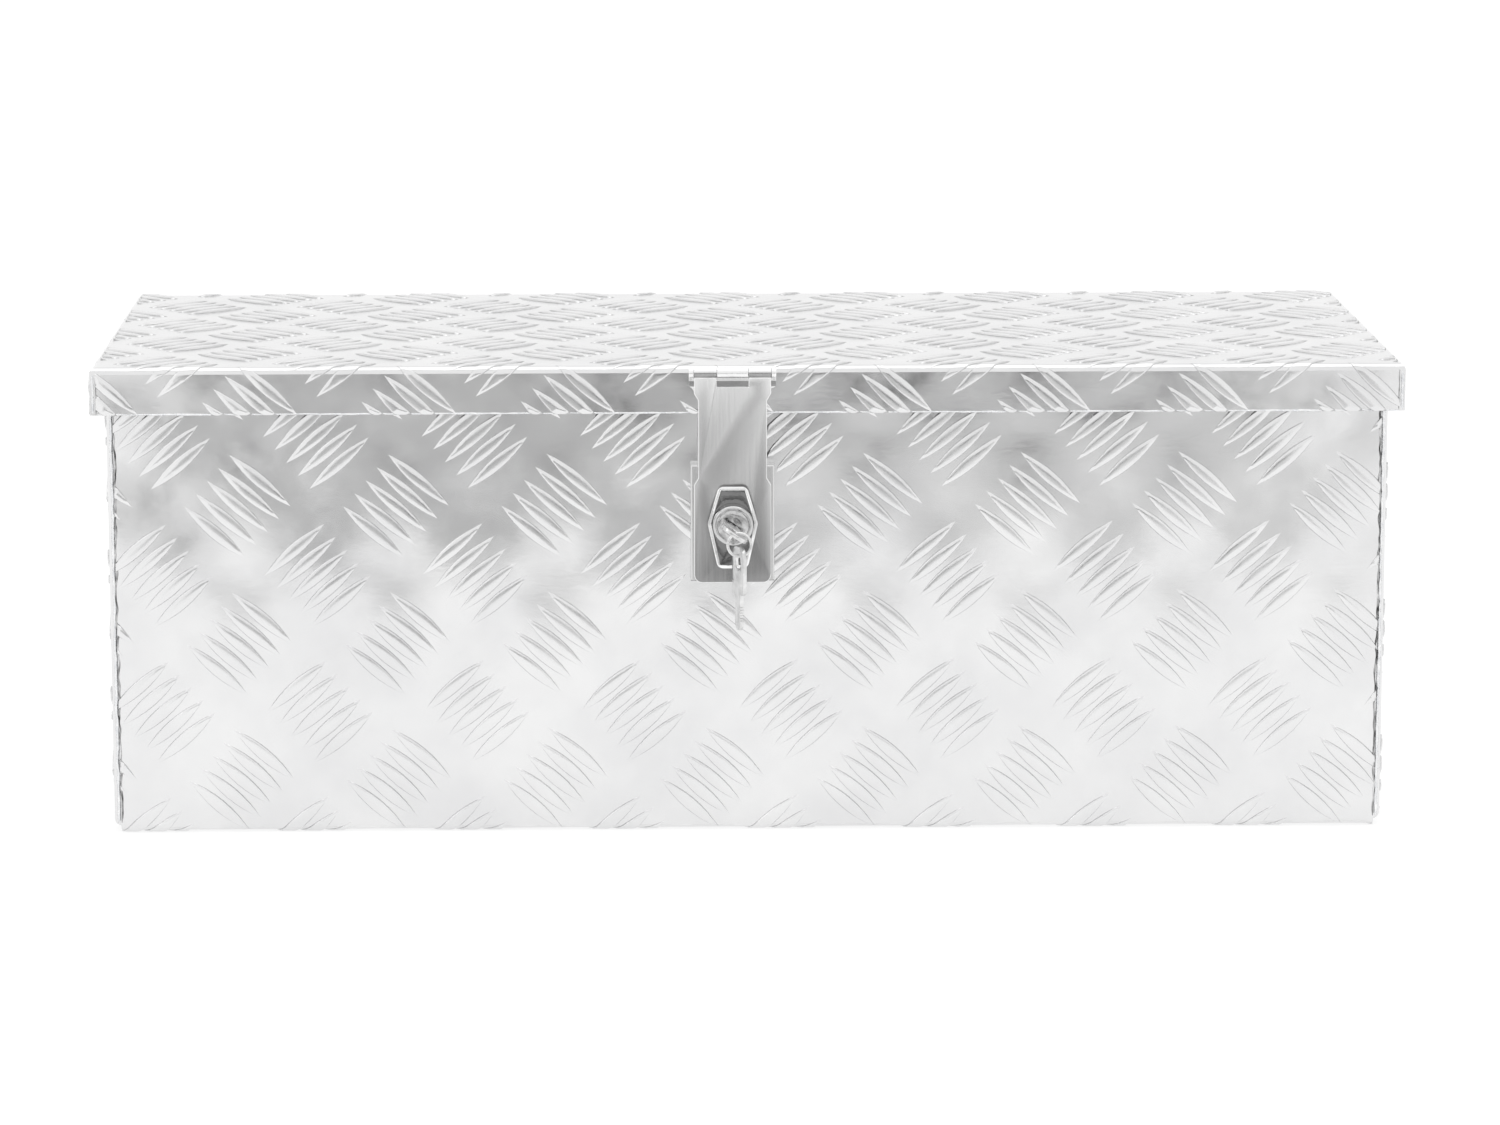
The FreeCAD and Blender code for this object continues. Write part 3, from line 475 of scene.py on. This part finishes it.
def weld_bead(name, finish, radius, wander, start, end, body):
    """A bead from start to end, wandering across its own line in X, or in Z where it runs level."""
    bpy.ops.curve.primitive_nurbs_path_add(location=(0, 0, 0))
    bead = bpy.context.object
    start, end = mathutils.Vector(start), mathutils.Vector(end)
    across = mathutils.Vector((0, 0, 1)) if start.z == end.z else mathutils.Vector((1, 0, 0))
    bpy.ops.object.mode_set(mode="EDIT")
    bpy.ops.curve.select_all(action="SELECT")
    bpy.ops.curve.subdivide(number_cuts=max(1, round((end - start).length / BEAD_STEP)))
    bpy.ops.object.mode_set(mode="OBJECT")
    points = bead.data.splines[0].points
    last = len(points) - 1
    for number, point in enumerate(points):
        inner = min(number, last - number) > 0
        place = start.lerp(end, number / last) + across * inner * steady_hand.uniform(-wander, wander)
        point.co = (*place, 1)
        point.radius = steady_hand.uniform(*BEAD_SWELL) if inner else BEAD_END
    bead.data.dimensions = "3D"
    bead.data.resolution_u = 3
    bead.data.bevel_depth = radius
    bead.data.bevel_resolution = 1
    bead.data.use_fill_caps = True
    only(bead)
    bpy.ops.object.convert(target="MESH")
    settle(bead)
    bead.name = name
    bpy.ops.object.shade_smooth_by_angle(angle=math.radians(60))
    dress(finish, bead)
    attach(bead, body)


def upright_bead(name, finish, radius, wander, x, y, foot, top, body):
    weld_bead(name, finish, radius, wander, (x, y, foot), (x, y, top), body)


# Each bead's radius, its wander, and how far it stands in from the sheet's end and from its face. The
# second of each pair is a dark line of painted shade beside the bead, for the seam's gap.
BOX_WELD = (0.0008, 0.0004, -0.0009, 0.0005)
BOX_SEAM_SHADE = (0.00045, 0.0007, 0.0003, 0.0)
LID_WELD = (0.0007, 0.0001, 0.0013, 0.0003)
LID_SEAM_SHADE = (0.0003, 0.0001, 0.0027, 0.0)


def corner_beads(label, low, high, weld, seam_shade, foot, top, body):
    """A bright bead and, beside it, a dark line of painted shade for the seam's gap, up each of the four
    corners.
    """
    for side, x, inward in (("left", low.x, 1), ("right", high.x, -1)):
        for face, y, out in (("front", low.y, -1), ("back", high.y, 1)):
            for kind, finish, bead in (("weld", weld_finish, weld), ("seam", seam_shade_finish, seam_shade)):
                radius, wander, across, inset = bead
                upright_bead(f"{label}{kind}_{face}_{side}", finish, radius, wander,
                             x + inward * across, y - out * inset, foot, top, body)


corner_beads("", wrap_low, wrap_high, BOX_WELD, BOX_SEAM_SHADE, wrap_low.z + 0.004, wrap_high.z - 0.001, "box")
corner_beads("lid_", lid_low, lid_high, LID_WELD, LID_SEAM_SHADE, lid_low.z + 0.0004, lid_high.z - 0.0026, "lid")


# --- Skirt edge ---------------------------------------------------------------------------------
# The guillotine leaves a fine rolled burr along the foot of the skirt, bright where it was cut.
# It is the lid's own aluminium, and runs along all four sides between the corner welds.

BURR_RADIUS = 0.00042
BURR_WANDER = 0.00012
burr_z = lid_low.z + 0.0003

for face, y in (("front", lid_low.y), ("back", lid_high.y)):
    weld_bead(f"skirt_edge_{face}", weld_finish, BURR_RADIUS, BURR_WANDER,
              (lid_low.x + LID_BEND, y, burr_z), (lid_high.x - LID_BEND, y, burr_z), "lid")
for side, x in (("left", lid_low.x), ("right", lid_high.x)):
    weld_bead(f"skirt_edge_{side}", weld_finish, BURR_RADIUS, BURR_WANDER,
              (x, lid_low.y + LID_BEND, burr_z), (x, lid_high.y - LID_BEND, burr_z), "lid")


# --- Rim seal -----------------------------------------------------------------------------------
# A strip of black foam rubber, glued to the box's folded rim, which the lid closes on.
# It goes all the way round the mouth and keeps spray out of the box.

seal_finish = marked_finish("seal_rubber", (0.03, 0.03, 0.032), 0.0, 0.75, marks=(900.0, (1, 1, 1), 5.0),
                            shades=((0.018, 0.018, 0.02), (0.05, 0.05, 0.052)),
                            polish=(0.6, 0.9), depth=0.0003)
put_on(seal_finish, "rim_seal")


# --- Rear hinge ---------------------------------------------------------------------------------
# A continuous piano hinge of rolled aluminium strip on a steel pin. One leaf is riveted to the
# back of the box and the other inside the lid's rear skirt, with blind rivets every 80 mm.

hinge_finish, hinge_tree, hinge_shader = new_finish("hinge_metal", (0.82, 0.82, 0.83), 1.0, 0.3)
tint(hinge_tree, hinge_shader, grain(hinge_tree, 40.0), (0.7, 0.7, 0.71), (0.86, 0.86, 0.87))
hinge_drawn = grain(hinge_tree, 120.0, (0.15, 6, 6))
hinge_tree.links.new(spread(hinge_tree, hinge_drawn, 0.2, 0.42), hinge_shader.inputs["Roughness"])
relief(hinge_tree, hinge_shader, hinge_drawn, 0.00006)
put_on(hinge_finish, "hinge_leaf_body", "hinge_leaf_lid")

pin_finish = marked_finish("pin_steel", (0.6, 0.6, 0.61), 1.0, 0.25, marks=(200.0, (0.1, 8, 8)),
                           shades=((0.5, 0.5, 0.51), (0.7, 0.7, 0.71)),
                           polish=(0.15, 0.35), depth=0.00003)
put_on(pin_finish, "hinge_pin", "hasp_pin")

rivet_finish = marked_finish("rivet_metal", (0.85, 0.85, 0.86), 1.0, 0.3, marks=(500.0,),
                             shades=((0.7, 0.7, 0.72), (0.9, 0.9, 0.9)),
                             polish=(0.2, 0.45), depth=0.00008)
put_on(rivet_finish, "hinge_rivets_body", "hinge_rivets_lid", "hasp_leaf_rivets", "keeper_rivets")


# --- Hasp ---------------------------------------------------------------------------------------
# A swing hasp of nickel-plated steel: a short leaf riveted to the front skirt, a steel pin, and a
# long waisted strap that carries the lock. Punched edges are tumbled round and catch the light.

def eased(node, name, width, body):
    """A copy of a CAD piece with its doubles merged and its sharp edges rounded, in its place."""
    piece = bpy.data.objects.new(name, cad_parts[node].data.copy())
    bpy.context.scene.collection.objects.link(piece)
    only(piece)
    bpy.ops.object.mode_set(mode="EDIT")
    bpy.ops.mesh.select_all(action="SELECT")
    bpy.ops.mesh.customdata_custom_splitnormals_clear()
    bpy.ops.mesh.remove_doubles(threshold=0.000002)
    bpy.ops.mesh.dissolve_limited(angle_limit=math.radians(1.5))
    bpy.ops.object.mode_set(mode="OBJECT")
    rounding = piece.modifiers.new("rounding", "BEVEL")
    rounding.width = width
    rounding.segments = 3
    rounding.limit_method = "ANGLE"
    rounding.angle_limit = math.radians(30)
    rounding.use_clamp_overlap = True
    apply_all(piece)
    bpy.ops.object.shade_smooth_by_angle(angle=math.radians(32))
    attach(piece, body)
    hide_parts(node)
    return piece


def one_axis(tree, kind, axis):
    """The piece's own X, Y or Z, of its place or of the way that its surface faces."""
    place = tree.nodes.new("ShaderNodeTexCoord")
    parts = tree.nodes.new("ShaderNodeSeparateXYZ")
    tree.links.new(place.outputs[kind], parts.inputs["Vector"])
    return parts.outputs[axis]


# Heights between which painted shade darkens the flat plated faces towards the foot, the strength of the
# painted shade in each crevice, and each crevice's height band.
PAINTED_SHADE_FOOT = 0.118
PAINTED_SHADE_TOP = 0.2
CREVICE_PAINTED_SHADE = 0.75
LEAF_CREVICE = (0.2012, 0.2036)
STRAP_CREVICE = (0.2056, 0.2079)
KEEPER_CREVICE = (0.1130, 0.1145)


def plated_steel(name, bright, dull, crevice):
    """Brushed plate, its colour darkened towards the foot as painted shade, its edges left lighter as a
    painted highlight, and painted shade in the crevice.
    """
    finish, tree, shader = new_finish(name, (0.7, 0.7, 0.7), 1.0, 0.24)
    brushed = grain(tree, 160.0, (7, 7, 0.25), detail=4.0)
    height = one_axis(tree, "Object", "Z")
    facing = arithmetic(tree, "ABSOLUTE", one_axis(tree, "Normal", "Y"), 0)
    # Faces that look straight ahead take the painted shade; the turned edges keep the light colour, a
    # painted highlight.
    flat = spread(tree, facing, 0, 1, start=0.93, end=0.998)
    # Painted shade: the flat faces grow darker towards the foot.
    foot_shade = spread(tree, height, 0.95, 0.3, start=PAINTED_SHADE_FOOT, end=PAINTED_SHADE_TOP)
    shade_and_grain = arithmetic(tree, "MULTIPLY", arithmetic(tree, "MULTIPLY", flat, foot_shade), dull)
    # Painted shade in a crevice: a dark band between the crevice's two heights.
    above = arithmetic(tree, "GREATER_THAN", height, crevice[0])
    below = arithmetic(tree, "LESS_THAN", height, crevice[1])
    crevice_shade = arithmetic(tree, "MULTIPLY", arithmetic(tree, "MULTIPLY", above, below), CREVICE_PAINTED_SHADE)
    shade_and_grain = arithmetic(tree, "MAXIMUM", shade_and_grain, crevice_shade)
    shade_and_grain = arithmetic(tree, "ADD", shade_and_grain, spread(tree, brushed, -0.03, 0.03))
    tint(tree, shader, spread(tree, shade_and_grain, 0.7, 0.3, 0, 1), (0.2, 0.2, 0.2), (bright, bright, bright))
    tree.links.new(spread(tree, brushed, 0.2, 0.27), shader.inputs["Roughness"])
    relief(tree, shader, brushed, 0.000006)
    return finish


hasp_leaf = eased("hasp_fixed_leaf", "hasp_leaf", 0.0003, "lid")
hasp_strap = eased("hasp_strap", "hasp_plate", 0.00072, "strap")
keeper_plate = eased("keeper", "keeper_plate", 0.0003, "box")
# The third number is how strongly painted shade darkens each plate towards its foot.
dress(plated_steel("leaf_steel", 0.92, 0.4, LEAF_CREVICE), hasp_leaf)
dress(plated_steel("strap_steel", 0.92, 1.0, STRAP_CREVICE), hasp_strap)
dress(plated_steel("keeper_steel", 0.7, 0.3, KEEPER_CREVICE), keeper_plate)


# --- Cam lock -----------------------------------------------------------------------------------
# A die-cast, chrome-plated housing: a long six-sided collar round a bevelled boss, clenched in the
# strap, with a brass plug that turns in it. The cam, clip, screw and wafers are out of sight.

BARREL_PROUD = 0.0022
BOSS_HEIGHT = 0.0095
RECESS_FLOOR = 0.0013
strap_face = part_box("hasp_strap")[0].y + BARREL_PROUD


def chrome(name, stops):
    """Plated die casting whose colour follows how far forward it stands: painted shade dark in the collar's
    recess, bright on its rim, and a greyer painted reflection on the boss.
    """
    finish, tree, shader = new_finish(name, (0.8, 0.8, 0.8), 1.0, 0.09)
    casting = grain(tree, 220.0)
    # Painted shade: dark near the recess floor, lighter further forward.
    depth = spread(tree, one_axis(tree, "Object", "Y"), 1, 0,
                   start=strap_face - BOSS_HEIGHT, end=strap_face - RECESS_FLOOR)
    depth = arithmetic(tree, "ADD", depth, spread(tree, casting, -0.04, 0.04))
    tint(tree, shader, depth, (0.2, 0.2, 0.2), (0.6, 0.6, 0.6))
    ramp = shader.inputs["Base Color"].links[0].from_node.color_ramp
    ramp.elements[0].position = 0.03
    ramp.elements[1].position = 0.97
    for position, shade in stops:
        ramp.elements.new(position).color = (shade, shade, shade, 1)
    tree.links.new(spread(tree, casting, 0.06, 0.16), shader.inputs["Roughness"])
    relief(tree, shader, casting, 0.00006)
    return finish


lock_collar = eased("lock_housing", "lock_collar", 0.0004, "strap")
lock_barrel = eased("lock_plug", "lock_barrel", 0.00015, "plug")
# Painted tones by depth: the collar bright at its rim and greyer at its front; the barrel kept dark by
# painted shade down into its keyway and lighter only at its face.
dress(chrome("collar_chrome", ((0.12, 0.92), (0.8, 0.86))), lock_collar)
dress(chrome("barrel_nickel", ((0.12, 0.12), (0.9, 0.2), (0.95, 0.42))), lock_barrel)

inner_finish = marked_finish("lock_works", (0.7, 0.6, 0.42), 1.0, 0.35, marks=(400.0,),
                             shades=((0.55, 0.5, 0.4), (0.75, 0.68, 0.52)),
                             polish=(0.25, 0.45), depth=0.00005)
put_on(inner_finish, "lock_wafers", "retaining_clip", "lock_cam", "cam_screw")


# --- Keys and ring ------------------------------------------------------------------------------
# Two flat keys stamped from nickel-plated brass. One is in the lock and the spare hangs beside it
# on a split ring of hard flattened steel wire, wound two turns.

key_finish, key_tree, key_shader = new_finish("key_nickel", (0.84, 0.84, 0.84), 1.0, 0.14)
key_wear = grain(key_tree, 250.0)
tint(key_tree, key_shader, key_wear, (0.6, 0.6, 0.6), (0.84, 0.84, 0.84))
key_tree.links.new(spread(key_tree, key_wear, 0.1, 0.24), key_shader.inputs["Roughness"])
relief(key_tree, key_shader, grain(key_tree, 500.0, (1, 1, 3)), 0.00004)

front_key = eased("key_in_lock", "front_key", 0.0002, "key")
hanging_key = eased("spare_key", "hanging_key", 0.0002, "spare")
dress(key_finish, front_key, hanging_key)

ring_low, ring_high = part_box("key_ring")
ring_middle = (ring_low + ring_high) / 2
RING_WIRE = (ring_high.y - ring_low.y) / 2
RING_TURN = RING_WIRE
RING_WOUND = 700
WIRE_FLATNESS = 0.48
ring_radius = (ring_high.x - ring_low.x) / 2 - RING_WIRE
bpy.ops.mesh.primitive_circle_add(vertices=12, radius=RING_WIRE, location=(ring_radius, -RING_TURN / 2, 0))
split_ring = bpy.context.object
split_ring.scale.y = WIRE_FLATNESS
settle(split_ring)
winding = split_ring.modifiers.new("winding", "SCREW")
winding.axis = "Y"
winding.angle = math.radians(RING_WOUND)
winding.screw_offset = RING_TURN
winding.steps = 96
winding.render_steps = 96
apply_all(split_ring)
bpy.ops.object.mode_set(mode="EDIT")
bpy.ops.mesh.select_mode(type="EDGE")
bpy.ops.mesh.select_all(action="DESELECT")
bpy.ops.mesh.select_non_manifold()
bpy.ops.mesh.fill_holes(sides=0)
bpy.ops.mesh.select_all(action="SELECT")
bpy.ops.mesh.normals_make_consistent(inside=False)
bpy.ops.object.mode_set(mode="OBJECT")
split_ring.location = ring_middle
settle(split_ring)
split_ring.name = "split_ring"
bpy.ops.object.shade_smooth_by_angle(angle=math.radians(50))
dress(key_finish, split_ring)
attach(split_ring, "ring")
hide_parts("key_ring")


# --- Studio -------------------------------------------------------------------------------------
# A white table in an even white room. Four grey cards lie in front of the box and a dark flag hangs
# high on the left, all out of view, so that the bright plate has something darker to mirror.

scene = bpy.context.scene
scene.view_settings.view_transform = "Standard"
scene.view_settings.look = "None"

world = bpy.data.worlds.new("white_room")
world.use_nodes = True
walls = world.node_tree.nodes["Background"]
walls.inputs["Color"].default_value = (1, 1, 1, 1)
walls.inputs["Strength"].default_value = 1.0
scene.world = world

floor_finish, _, floor_shader = new_finish("white_table", (0.3, 0.3, 0.3), 0.0, 0.9)
floor_shader.inputs["Specular IOR Level"].default_value = 0.0
floor_shader.inputs["Emission Color"].default_value = (1, 1, 1, 1)
floor_shader.inputs["Emission Strength"].default_value = 0.75
TABLE_SIZE = 12
TABLE_DROP = 0.0008
bpy.ops.mesh.primitive_plane_add(size=TABLE_SIZE, location=(0, 0, -TABLE_DROP))
floor = bpy.context.object
floor.name = "floor"
dress(floor_finish, floor)


def hang_card(name, shade, place, size, turn=(0, 0, 0)):
    card_finish, _, card_shader = new_finish(name, (0.0, 0.0, 0.0), 0.0, 1.0)
    card_shader.inputs["Specular IOR Level"].default_value = 0.0
    card_shader.inputs["Emission Color"].default_value = (shade, shade, shade, 1)
    card_shader.inputs["Emission Strength"].default_value = 1.0
    bpy.ops.mesh.primitive_plane_add(size=1, location=place, rotation=turn)
    card = bpy.context.object
    card.name = name
    card.scale = (size[0], size[1], 1)
    dress(card_finish, card)
    card.visible_camera = False
    card.visible_diffuse = False
    card.visible_shadow = False


hang_card("card_near", 0.58, (-0.155, -1.05, 0.01), (0.37, 0.6))
hang_card("card_far", 0.34, (0.03, -1.75, 0.008), (0.85, 0.9))
hang_card("card_middle", 0.1, (0.09, -1.62, 0.012), (0.32, 0.5))
hang_card("card_right", 0.75, (0.21, -1.04, 0.01), (0.34, 0.58))
hang_card("flag_high", 0.02, (-0.75, -0.65, 0.85), (0.3, 0.5), (0, math.radians(45), math.radians(35)))


def soft_light(name, place, aim, size, power):
    lamp = bpy.data.lights.new(name, "AREA")
    lamp.shape = "RECTANGLE"
    lamp.size, lamp.size_y = size
    lamp.energy = power
    light = bpy.data.objects.new(name, lamp)
    scene.collection.objects.link(light)
    light.location = place
    beam = mathutils.Vector(aim) - mathutils.Vector(place)
    light.rotation_euler = beam.to_track_quat("-Z", "Y").to_euler()


soft_light("overhead", (0, -0.3, 2.2), (0, 0, 0), (2.4, 1.8), 8)
soft_light("front_left", (-1.9, -2.0, 1.5), (0, 0, 0.1), (1.2, 1.2), 3)

CAMERA_PLACE = (-0.0586, -2.4489, 0.5516)
CAMERA_DOWN = 10.459
CAMERA_RIGHT = 1.449
CAMERA_LENS = 128.14

camera_data = bpy.data.cameras.new("camera")
camera_data.sensor_width = 36
camera_data.lens = CAMERA_LENS
camera_data.clip_start = 0.05
camera = bpy.data.objects.new("camera", camera_data)
scene.collection.objects.link(camera)
camera.location = CAMERA_PLACE
camera.rotation_euler = (math.radians(90 - CAMERA_DOWN), 0, math.radians(-CAMERA_RIGHT))
scene.camera = camera
